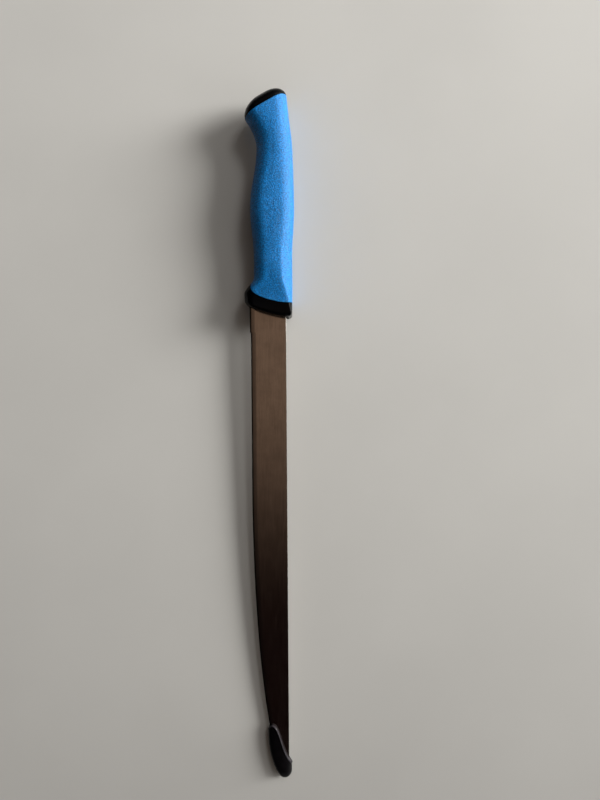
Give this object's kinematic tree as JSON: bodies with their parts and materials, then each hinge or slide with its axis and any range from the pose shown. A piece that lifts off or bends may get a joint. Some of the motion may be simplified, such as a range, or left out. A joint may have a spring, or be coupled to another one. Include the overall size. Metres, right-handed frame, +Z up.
{
  "type": "slicing knife",
  "caption": "Long pointed slicing knife with a hidden tang, a moulded two-colour handle with hooked butt, and a slip-on tip guard.",
  "frame": {"origin": "middle of the footprint, on the surface that the knife lies on", "axes": "+X from the butt of the handle to the blade's tip, +Y from the cutting edge to the spine, +Z up: the knife lies on its side, on the collar and the tip guard"},
  "size_m": [0.4424, 0.0322, 0.0231],
  "materials": {
    "blade_steel": "fine satin grind along the blade, with a darker sharpened band at the edge",
    "black_plastic": "fine spark-eroded texture, slightly glossy",
    "blue_grip": "fine spark-eroded texture, matte",
    "guard_plastic": "smooth and slightly waxy"
  },
  "bodies": {
    "knife": {"blade": "blade_steel", "handle_core": "black_plastic", "grip": "blue_grip"},
    "guard": {"tip_guard": "guard_plastic"}
  },
  "joints": [
    {"name": "guard_slide", "type": "slide", "parent": "knife", "child": "guard", "axis": [0.9997, 0, -0.0239], "range_m": [0, 0.045]}
  ]
}
